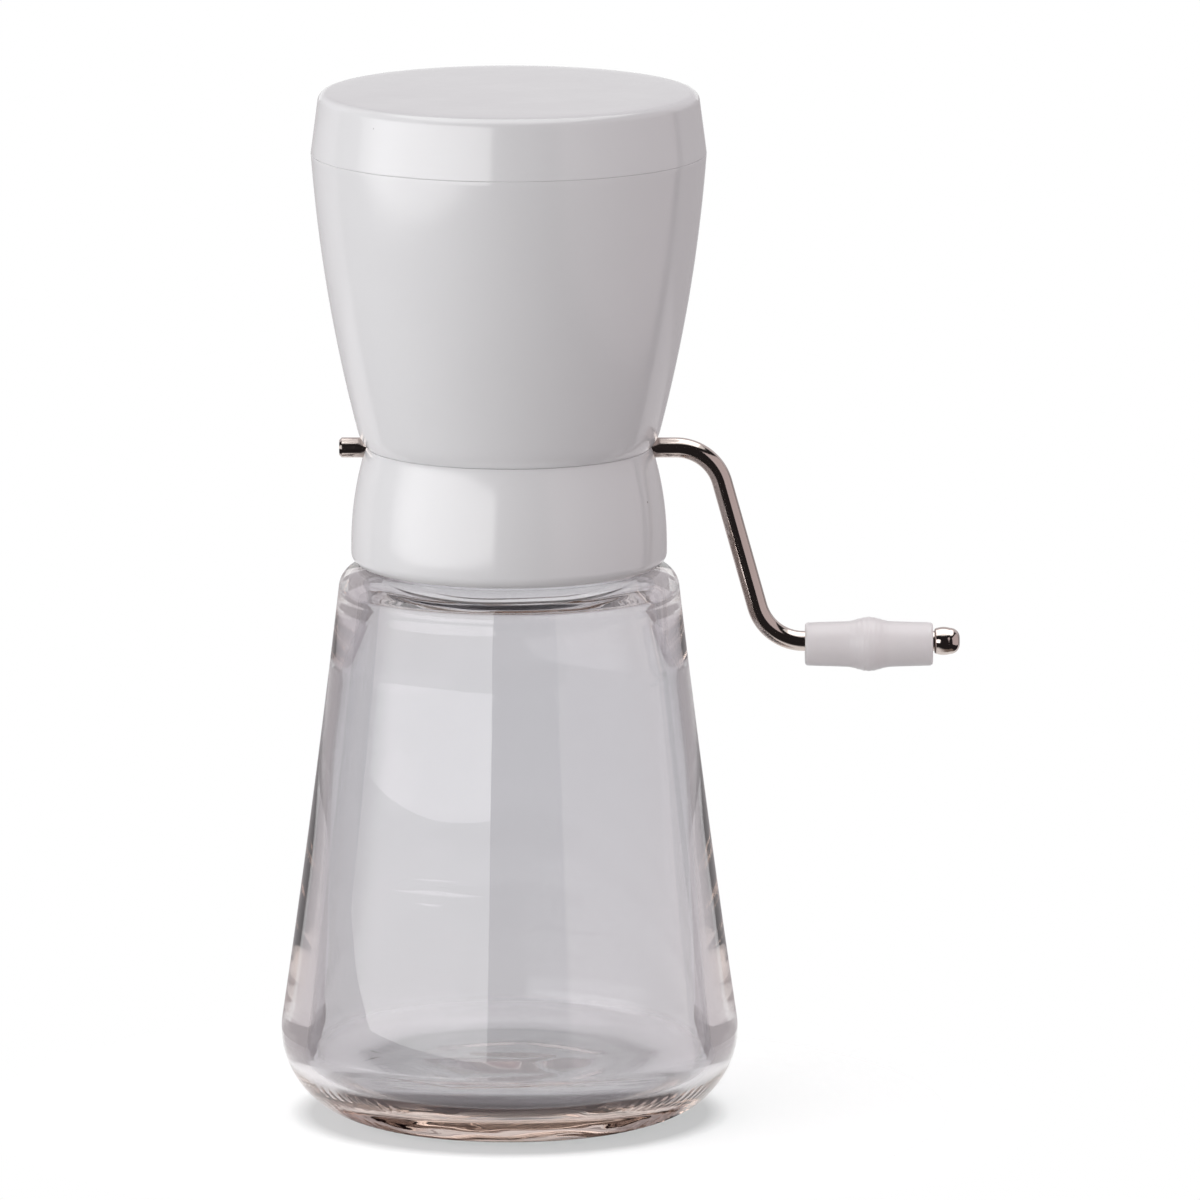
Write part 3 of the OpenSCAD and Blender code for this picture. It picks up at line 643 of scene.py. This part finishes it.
def hopperOutline():
    s = hopperSizes
    seam, ledge = stack["seam"], stack["ledge"]
    floorZ = seam + s["floor"]
    tip = (stack["waistR"], seam + s["relief"])
    footLean, lean = math.radians(s["footLean"]), math.radians(s["lean"])
    foot = (tip[0] - s["footR"] * math.cos(footLean), tip[1] + s["footR"] * math.sin(footLean))
    low = (foot[0] + s["footR"] * math.cos(lean), foot[1] - s["footR"] * math.sin(lean))
    high = (stack["rimR"], ledge)
    rise = bowRise(low, high, s["lean"] - leanOf(low, high))
    inLow = (low[0] - s["wall"], floorZ + s["innerR"])
    inTop = (stack["rimR"] - s["wall"] - s["thickH"] * math.tan(lean / 2), ledge - s["thickH"])
    tongueIn = stack["tongueR"] - s["tongueWall"]
    outline = [(0.0, seam), (stack["waistR"] - s["reliefW"], seam), (stack["waistR"] - s["reliefW"], tip[1])]
    outline += arcPoints(foot, s["footR"], -s["footLean"], -s["lean"], 20)
    outline += bowPoints(low, high, rise, 60)
    outline += arcPoints((high[0] - s["rimEdge"], ledge - s["rimEdge"]), s["rimEdge"], 0, 90, 4)
    tongueTop, edge = ledge + s["tongueH"], s["tongueEdge"]
    outline += softCorners([(stack["tongueR"], ledge, 0), (stack["tongueR"], tongueTop, edge),
                            (tongueIn, tongueTop, edge), (tongueIn, ledge - s["tongueRoot"], 0)])
    outline += [inTop] + bowPoints(inTop, inLow, -rise, 40)
    outline += arcPoints((inLow[0] - s["innerR"], inLow[1]), s["innerR"], 0, -90, 10)
    return outline + [(0.0, floorZ)]


def hopperAdds():
    c, seam, axle, sides = chopper, stack["seam"], stack["axle"], chopper["humpSides"]
    foot = seam + hopperSizes["floor"] - c["past"]
    for x, y in screwPlaces():
        yield barTool((x, y, foot), (x, y, seam + c["bossH"]), c["bossR"], sides)
    for side in (-1, 1):  # humps over the bearings
        yield barTool((side * c["throatX"], 0, axle), (side * c["humpEnd"], 0, axle), c["humpR"], sides)


def hopperCuts():
    c, seam = chopper, stack["seam"]
    reach, past, wide, deep = c["reach"], c["past"], c["throatX"], c["throatY"]
    yield blockTool((-reach, -reach, seam - c["humpCut"]), (reach, reach, seam - c["seamSkin"]))
    yield blockTool((-wide, -deep, seam - past), (wide, deep, seam + c["throatH"]))
    yield axleTool()
    pilotR, pilotTop = c["screwR"] + c["screwTight"], seam + c["bossH"] - past
    for x, y in screwPlaces():
        yield barTool((x, y, seam - past), (x, y, pilotTop), pilotR, c["boreSides"])


hopperPiece = lathe("hopper_moulding", hopperOutline(), hopperSizes["segments"], whitePlastic)
carve(hopperPiece, list(hopperAdds()), "UNION")
smoothPiece(carve(hopperPiece, list(hopperCuts())))
standsFor(hopperPiece, "hopper", "head")
print("hopper made:", len(hopperPiece.data.vertices), "points")

# slip-on lid
lidSizes = dict(height=12.0, taper=1.35, topR=1.8, wall=1.8, innerR=1.0, fit=0.2, edge=0.12, lift=0.02,
                tongueRoom=6.1, segments=256)


def lidOutline():
    s = lidSizes
    bottom, top = stack["ledge"] + s["lift"], stack["ledge"] + s["height"]
    rimR, topR = stack["rimR"], stack["rimR"] - s["taper"]
    inR = stack["tongueR"] + s["fit"]
    inTop, inTopR = top - s["wall"], topR - s["wall"]
    side = math.degrees(math.atan2(s["taper"], s["height"] - s["topR"]))
    corner = (topR - s["topR"], top - s["topR"])
    outline = softCorners([(inR, bottom, 0), (rimR, bottom, s["edge"]), (topR, corner[1], 0)])[:-1]
    outline += linePoints(outline[-1], arcPoints(corner, s["topR"], side, 90, 1)[0], 10)
    outline += arcPoints(corner, s["topR"], side, 90, 18)
    outline += linePoints((corner[0], top), (0.0, top), 12) + [(0.0, top), (0.0, inTop)]
    inCorner = (inTopR - s["innerR"], inTop - s["innerR"])
    outline += linePoints((0.0, inTop), (inCorner[0], inTop), 6)
    outline += arcPoints(inCorner, s["innerR"], 90, 0, 8)
    return outline + [(inR, stack["ledge"] + s["tongueRoom"])]


lidPiece = smoothPiece(lathe("lid_moulding", lidOutline(), lidSizes["segments"], whitePlastic))
standsFor(lidPiece, "lid", "lid")
print("lid made:", len(lidPiece.data.vertices), "points")

# crank: one bent wire, its loose grip and the cap on its end
crankSizes = dict(leftX=-33.4, bendX=32.8, bendR=9.5, lean=15.6, throw=38.7, sides=40, chamfer=0.5, earL=5.0,
                  earT=1.6, earR=3.58)
gripSizes = dict(startGap=0.3, length=25.2, endD=8.5, sideD=9.0, bulgeD=10.68, bulgeL=9.0, boreR=2.65,
                 hang=0.6, edge=0.6, ring=0.038, ringMm=1.1, segments=96)
capSizes = dict(length=5.0, d=5.6, round=1.9, floor=1.5, edge=0.5, barrel=0.2, fit=0.03, wireGap=0.05,
                segments=64)


# the wire's middle line in the XZ plane: (x, z) and its heading, in mm
def wireLine():
    s = crankSizes
    lean = math.radians(s["lean"])
    bend, axle = s["bendR"], stack["axle"]
    arm = (s["throw"] - 2 * bend * (1 - math.sin(lean))) / math.cos(lean)
    turn = math.pi / 2 - lean
    gripX = s["bendX"] + 2 * bend * math.cos(lean) + arm * math.sin(lean)
    capX = gripX + 2 * gripSizes["startGap"] + gripSizes["length"]
    endX = capX + capSizes["length"] - capSizes["floor"] - capSizes["wireGap"]
    line = [(s["leftX"], axle, 0.0), (s["leftX"] + s["chamfer"], axle, 0.0)]
    straight = s["bendX"] - s["leftX"]
    line += [(s["leftX"] + straight * i / 12, axle, 0.0) for i in range(1, 12)]
    steps = 24
    line += [(s["bendX"] + bend * math.sin(turn * i / steps), axle - bend * (1 - math.cos(turn * i / steps)),
              turn * i / steps) for i in range(steps + 1)]
    x, z, _ = line[-1]
    line += [(x + arm * math.sin(lean) * i / 6, z - arm * math.cos(lean) * i / 6, turn) for i in range(1, 6)]
    low = axle - s["throw"]
    line += [(gripX - bend * math.sin(turn * i / steps), low + bend * (1 - math.cos(turn * i / steps)),
              turn * i / steps) for i in range(steps, -1, -1)]
    line += [(gripX + (endX - gripX) * i / 6, low, 0.0) for i in range(1, 7)]
    return line, gripX, low


def wirePiece():
    s = crankSizes
    line, gripX, low = wireLine()
    mesh = bpy.data.meshes.new("crank_wire")
    bm = bmesh.new()
    uv = bm.loops.layers.uv.new("UVMap")
    rings, lengths, run = [], [], 0.0
    for i, (x, z, heading) in enumerate(line):
        if i:
            run += math.hypot(x - line[i - 1][0], z - line[i - 1][1])
        radius = stack["rodR"] - (s["chamfer"] if i == 0 else 0)
        across = (math.sin(heading), math.cos(heading))  # in XZ, square to the wire
        ring = []
        for k in range(s["sides"]):
            a = 2 * math.pi * k / s["sides"]
            ring.append(bm.verts.new(((x + radius * math.cos(a) * across[0]) * mm, radius * math.sin(a) * mm,
                                      (z + radius * math.cos(a) * across[1]) * mm)))
        rings.append(ring)
        lengths.append(run)
    for i in range(len(rings) - 1):
        for k in range(s["sides"]):
            n = (k + 1) % s["sides"]
            face = bm.faces.new((rings[i][k], rings[i][n], rings[i + 1][n], rings[i + 1][k]))
            round0, round1 = (2 * math.pi * stack["rodR"] * j / s["sides"] for j in (k, k + 1))
            corners = ((i, round0), (i, round1), (i + 1, round1), (i + 1, round0))
            for loop, (at, turn) in zip(face.loops, corners):
                loop[uv].uv = (lengths[at] * mm, turn * mm)
    bm.faces.new(rings[0])
    bm.faces.new(rings[-1])
    bmesh.ops.recalc_face_normals(bm, faces=bm.faces)
    bm.to_mesh(mesh)
    bm.free()
    return placePiece("crank_wire", mesh, nickel), gripX, low


wire, gripX, gripZ = wirePiece()
ear = crankSizes
earTool = blockTool((-ear["earL"] / 2, -ear["earT"] / 2, stack["axle"] - ear["earR"]),
                    (ear["earL"] / 2, ear["earT"] / 2, stack["axle"] + ear["earR"]))
earTool.data.materials.clear()
earTool.data.materials.append(nickel)
smoothPiece(carve(wire, [earTool], "UNION"))
standsFor(wire, "crank_rod", "crank")


# stands a turned piece on the wire: its own Z becomes X
def ontoWire(piece, x, z):
    piece.data.transform(Matrix.Translation((x * mm, 0, z * mm)) @ Matrix.Rotation(math.pi / 2, 4, "Y"))
    piece.data.update()
    return piece


def gripOutline():
    s = gripSizes
    middle, half = s["length"] / 2, s["bulgeL"] / 2
    side, bulge, end = s["sideD"] / 2, s["bulgeD"] / 2, s["endD"] / 2
    swell = []
    steps = 64
    for i in range(steps + 1):
        t = 2 * i / steps - 1
        ring = s["ring"] * math.cos(2 * math.pi * half * t / s["ringMm"]) * (1 - t * t)  # faint mould marks
        swell.append((side + (bulge - side) * (1 + math.cos(math.pi * t)) / 2 + ring, middle + half * t))
    outline = [(s["boreR"], 0.0)] + arcPoints((end - s["edge"], s["edge"]), s["edge"], -90, 0, 8)
    outline += linePoints(outline[-1], swell[0], 6) + swell
    tail = arcPoints((end - s["edge"], s["length"] - s["edge"]), s["edge"], 0, 90, 8)
    outline += linePoints(swell[-1], tail[0], 6) + tail
    return outline + [(s["boreR"], s["length"])]


grip = lathe("crank_grip_sleeve", gripOutline(), gripSizes["segments"], milkyPlastic)
smoothPiece(ontoWire(grip, gripX + gripSizes["startGap"], gripZ - gripSizes["hang"]))
standsFor(grip, "crank_grip", "grip")


def capOutline():
    s = capSizes
    r, bore = s["d"] / 2 - s["barrel"], stack["rodR"] + s["fit"]
    depth = s["length"] - s["floor"]
    outline = [(0.0, depth), (bore, depth), (bore, 0.0)]
    outline += arcPoints((r - s["edge"], s["edge"]), s["edge"], -90, 0, 6)
    tip = arcPoints((r - s["round"], s["length"] - s["round"]), s["round"], 0, 90, 14)
    outline += bowPoints(outline[-1], tip[0], s["barrel"], 10) + tip
    return outline + [(0.0, s["length"])]


cap = lathe("crank_end_cap", capOutline(), capSizes["segments"], nickel)
smoothPiece(ontoWire(cap, gripX + 2 * gripSizes["startGap"] + gripSizes["length"], gripZ))
standsFor(cap, "grip_cap", "crank")
print("crank made")

# pieces that keep their CAD shape and get a finish
finishes = dict(jar_seal=silicone, rotor_half_front=stainless, rotor_half_rear=stainless, rotor_rivets=zinc,
                coarse_comb=stainless, fine_comb=stainless, deck_screws=zinc)
for nodeName, finish in finishes.items():
    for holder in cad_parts[nodeName].material_slots:
        holder.material = finish
print("inner pieces finished:", len(finishes))

# camera at the photograph's angle
photoView = dict(aim=(17.9, 0.0, 102.8), elevation=10.22, distance=3048.4, lens=464.0, sensor=36.0)
lens = bpy.data.cameras.new("camera")
lens.lens, lens.sensor_width = photoView["lens"], photoView["sensor"]
camera = bpy.data.objects.new("camera", lens)
bpy.context.scene.collection.objects.link(camera)
tip = math.radians(photoView["elevation"])
back = Vector((0, -math.cos(tip), math.sin(tip)))
camera.location = (Vector(photoView["aim"]) + back * photoView["distance"]) * mm
camera.rotation_euler = (-back).to_track_quat("-Z", "Y").to_euler()
bpy.context.scene.camera = camera

studioMiddle = 0.12  # height in metres that the lamps and cards face


# flat soft light facing the object; azimuth 0 is the camera's side, positive to the right
def softbox(name, azimuth, elevation, distance, width, tall, radiance, colour,
            farLevel=1, farShare=0, shows=True):
    lamp = bpy.data.lights.new(name, "AREA")
    lamp.shape = "RECTANGLE"
    lamp.size, lamp.size_y = width, tall
    lamp.energy = radiance * math.pi * width * tall
    lamp.color = linearColour(colour)[:3]
    if farLevel < 1:  # the far side of the box is dimmer
        lamp.use_nodes = True
        tree = lamp.node_tree
        tree.nodes.clear()
        across = addNode(tree, "NewGeometry")
        side = addNode(tree, "SeparateXYZ", {0: (across, "Parametric")})
        level = addNode(tree, "MapRange", {"Value": (side, "X"), "From Max": farShare, "To Min": farLevel},
                        interpolation_type="SMOOTHSTEP")
        glow = addNode(tree, "Emission", {"Strength": (level, 0)})
        addNode(tree, "OutputLight", {"Surface": (glow, 0)})
    box = bpy.data.objects.new(name, lamp)
    bpy.context.scene.collection.objects.link(box)
    a, up = math.radians(azimuth), math.radians(elevation)
    away = Vector((math.cos(up) * math.sin(a), -math.cos(up) * math.cos(a), math.sin(up)))
    box.location = Vector((0, 0, studioMiddle)) + away * distance
    box.rotation_euler = (-away).to_track_quat("-Z", "Y").to_euler()
    box.visible_camera = False
    box.visible_glossy = box.visible_transmission = shows


lamps = dict(
    left=dict(azimuth=-52.5, elevation=6.2, distance=0.46, width=0.84, tall=0.27, radiance=2.9,
              colour="FFFFFF", farLevel=0.3, farShare=0.3),
    left_fill=dict(azimuth=-100, elevation=12, distance=1.0, width=0.8, tall=0.8, radiance=1.0,
                   colour="FFFFFF", shows=False),
    right=dict(azimuth=73.5, elevation=8, distance=1.1, width=2.0, tall=1.4, radiance=0.66, colour="FFF2F5"),
    top=dict(azimuth=180, elevation=86, distance=1.1, width=1.3, tall=1.3, radiance=1.33, colour="FFFFFF"))
for lampName, lampSizes in lamps.items():
    softbox(lampName + "_softbox", **lampSizes)


# 1 for the rays that show the background: straight, in gloss and through glass
def backgroundRays(tree):
    path = addNode(tree, "LightPath")
    shown = addNode(tree, "Math", {
        0: (path, "Is Camera Ray"), 1: (path, "Is Glossy Ray")}, operation="MAXIMUM")
    return addNode(tree, "Math", {0: (shown, 0), 1: (path, "Is Transmission Ray")}, operation="MAXIMUM")


# pale floor, in metres: lit for real, topped up to white where it is background, fading into the world
# under the jar it gets painted shade, a darker colour and less glow over its real shadow: deeper towards the
# front, and paler where it shows beside the glass
floorSizes = dict(half=0.125, drop=0.0002, colour="C2B8BA", topUp=0.66, topUpColour="F8FFFE", shade="553E41",
                  contact=0.35, rearShade=0.2, frontY=-0.0152, rearY=-0.0098, jarR=0.039, clearR=0.044,
                  fadeFrom=0.055, fadeTo=0.11)


def paperFloor():
    s = floorSizes
    material, tree = startMaterial("pale_paper_floor")
    place = addNode(tree, "NewGeometry")
    away = addNode(tree, "VectorMath", {0: (place, "Position")}, operation="LENGTH")
    spot = addNode(tree, "SeparateXYZ", {0: (place, "Position")})
    # how deep the painted shade under the jar is: more towards the front, and the contact level where it is
    # seen straight
    front = addNode(tree, "MapRange", {
        "Value": (spot, "Y"), "From Min": s["frontY"], "From Max": s["rearY"],
        "To Min": 1.0, "To Max": s["rearShade"]})
    path = addNode(tree, "LightPath")
    deep = addNode(tree, "Mix", {0: (path, "Is Camera Ray"), 2: (front, 0), 3: s["contact"]})
    under = addNode(tree, "MapRange", {
        "Value": (away, "Value"), "From Min": s["jarR"], "From Max": s["clearR"],
        "To Min": 1.0, "To Max": 0.0})
    # painted shade: under the jar the glow is taken away and the paper's colour darkened towards the shade
    # colour
    shade = addNode(tree, "Math", {0: (under, 0), 1: (deep, 0)}, operation="MULTIPLY")
    glow = addNode(tree, "MapRange", {"Value": (shade, 0), "To Min": s["topUp"], "To Max": 0.0})
    tone = addNode(tree, "Mix", {
        0: (shade, 0), 6: linearColour(s["colour"]), 7: linearColour(s["shade"])}, data_type="RGBA")
    strength = addNode(tree, "Math", {0: (backgroundRays(tree), 0), 1: (glow, 0)}, operation="MULTIPLY")
    light = addNode(tree, "Emission", {"Color": linearColour(s["topUpColour"]), "Strength": (strength, 0)})
    paper = addNode(tree, "BsdfDiffuse", {"Color": (tone, 2)})
    lit = addNode(tree, "AddShader", {0: (paper, 0), 1: (light, 0)})
    fade = addNode(tree, "MapRange", {
        "Value": (away, "Value"), "From Min": s["fadeFrom"], "From Max": s["fadeTo"]},
        interpolation_type="SMOOTHSTEP")
    gone = addNode(tree, "BsdfTransparent")
    endMaterial(tree, addNode(tree, "MixShader", {0: (fade, 0), 1: (lit, 0), 2: (gone, 0)}))
    return material


def floorSheet():
    s = floorSizes
    mesh = bpy.data.meshes.new("floor")
    half = s["half"]
    corners = [(-half, -half), (half, -half), (half, half), (-half, half)]
    mesh.from_pydata([(x, y, -s["drop"]) for x, y in corners], [], [(0, 1, 2, 3)])
    return placePiece("floor", mesh, paperFloor())


floorSheet()

anyBounce = 0.5  # between no bounce and one


# studio card on a ball about the object, seen only in gloss and through glass
def studioCard(name, radius, azimuths, elevations, colour,
               inGlass=None, mirrored=False, thinFrom=0, thinTo=0):
    material, tree = startMaterial(name)
    path = addNode(tree, "LightPath")
    tone = linearColour(colour)
    if inGlass:  # another tone for light that has run about inside the glass
        inside = addNode(tree, "Math", {
            0: (path, "Transmission Depth"), 1: anyBounce}, operation="GREATER_THAN")
        mixed = addNode(tree, "Mix", {0: (inside, 0), 6: tone, 7: linearColour(inGlass)}, data_type="RGBA")
        tone = (mixed, 2)
    paint = addNode(tree, "Emission", {"Color": tone})
    clear = addNode(tree, "BsdfTransparent")  # for the light that falls on the pieces
    hidden = addNode(tree, "Math", {0: (path, "Diffuse Depth"), 1: anyBounce}, operation="GREATER_THAN")
    if mirrored:  # shows in reflections alone, not straight through the glass
        straight = addNode(tree, "Math", {0: (path, "Glossy Depth"), 1: anyBounce}, operation="LESS_THAN")
        hidden = addNode(tree, "Math", {0: (hidden, 0), 1: (straight, 0)}, operation="MAXIMUM")
    if thinFrom:  # thins out towards the rear
        place = addNode(tree, "NewGeometry")
        spot = addNode(tree, "SeparateXYZ", {0: (place, "Position")})
        side = addNode(tree, "Math", {0: (spot, "X")}, operation="ABSOLUTE")
        ends = [radius * math.sin(math.radians(a)) for a in (thinFrom, thinTo)]
        thin = addNode(tree, "MapRange", {
            "Value": (side, 0), "From Min": ends[1], "From Max": ends[0], "To Min": 1.0, "To Max": 0.0},
            interpolation_type="SMOOTHSTEP")
        hidden = addNode(tree, "Math", {0: (hidden, 0), 1: (thin, 0)}, operation="MAXIMUM")
    endMaterial(tree, addNode(tree, "MixShader", {0: (hidden, 0), 1: (paint, 0), 2: (clear, 0)}))
    mesh = bpy.data.meshes.new(name)
    columns, rows = 24, 12
    points = []
    for j in range(rows + 1):
        up = math.radians(elevations[0] + (elevations[1] - elevations[0]) * j / rows)
        for i in range(columns + 1):
            a = math.radians(azimuths[0] + (azimuths[1] - azimuths[0]) * i / columns)
            points.append((radius * math.cos(up) * math.sin(a), -radius * math.cos(up) * math.cos(a),
                           radius * math.sin(up) + studioMiddle))
    wide = columns + 1
    faces = [(j * wide + i, j * wide + i + 1, (j + 1) * wide + i + 1, (j + 1) * wide + i)
             for j in range(rows) for i in range(columns)]
    mesh.from_pydata(points, [], faces)
    card = placePiece(name, mesh, material)
    card.visible_camera = card.visible_diffuse = card.visible_shadow = False


cards = dict(
    dark_front_flag=dict(radius=1.6, azimuths=(-121, 121), elevations=(-60, 52), colour="2A2728",
                         inGlass="AAA09B", mirrored=True),
    mauve_rear_card=dict(radius=1.7, azimuths=(121, 239), elevations=(10.5, 52), colour="DAD5D9"),
    warm_table_card=dict(radius=1.65, azimuths=(-121, 121), elevations=(-89, -58), colour="867A73",
                         mirrored=True))
for cardName, cardSizes in cards.items():
    studioCard(cardName, **cardSizes)

# these stand on both sides
sideCards = dict(
    grey_card=dict(radius=1.7, azimuths=(121, 160), elevations=(-15, 10.5), colour="B6B1B3"),
    pale_card=dict(radius=1.7, azimuths=(121, 160), elevations=(-40, -15), colour="E2DDDF"),
    edge_card=dict(radius=1.7, azimuths=(160, 177), elevations=(-15, 2), colour="B6B1B3", mirrored=True,
                   thinFrom=168, thinTo=177))
for cardName, cardSizes in sideCards.items():
    near, far = cardSizes.pop("azimuths")
    studioCard("right_" + cardName, azimuths=(near, far), **cardSizes)
    studioCard("left_" + cardName, azimuths=(-far, -near), **cardSizes)

# world: white where the background shows, a dim fill for the rest
worldFill = 0.27
world = bpy.data.worlds.new("studio")
bpy.context.scene.world = world
world.use_nodes = True
sky = world.node_tree
sky.nodes.clear()
level = addNode(sky, "MapRange", {"Value": (backgroundRays(sky), 0), "To Min": worldFill, "To Max": 1.0})
shine = addNode(sky, "Background", {"Color": linearColour("FFFFFF"), "Strength": (level, 0)})
addNode(sky, "OutputWorld", {"Surface": (shine, 0)})

bpy.context.scene.view_settings.view_transform = "Standard"
paths = bpy.context.scene.cycles  # light runs a long way inside the glass before it comes out
paths.max_bounces, paths.glossy_bounces, paths.transmission_bounces = 24, 16, 24
print("studio ready")
